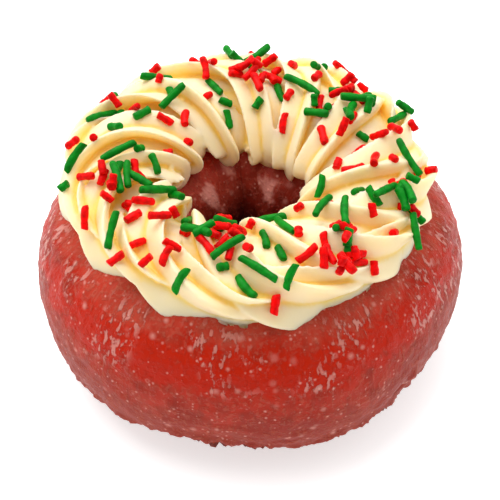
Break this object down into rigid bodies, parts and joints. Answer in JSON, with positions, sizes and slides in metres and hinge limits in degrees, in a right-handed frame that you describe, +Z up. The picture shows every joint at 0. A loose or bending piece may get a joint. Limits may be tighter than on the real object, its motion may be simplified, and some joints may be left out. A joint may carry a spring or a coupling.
{
  "type": "decorated christmas doughnut",
  "caption": "Ring doughnut of glazed red dough, topped with a piped ring of cream icing and scattered red and green sprinkles.",
  "frame": {"origin": "on the table under the middle of the doughnut", "axes": "+Z up along the axis of the ring, -Y towards the viewer of the picture, +X to the right in it"},
  "size_m": [0.0962, 0.0938, 0.0555],
  "materials": {
    "dough": "fried red dough under a thin, clear, cracked sugar glaze",
    "icing": "smooth satin cream icing",
    "red_sprinkles": "softly glossy sugar strands",
    "green_sprinkles": "softly glossy sugar strands"
  },
  "bodies": {
    "root": {"dough": "dough", "icing": "icing"}
  },
  "joints": []
}
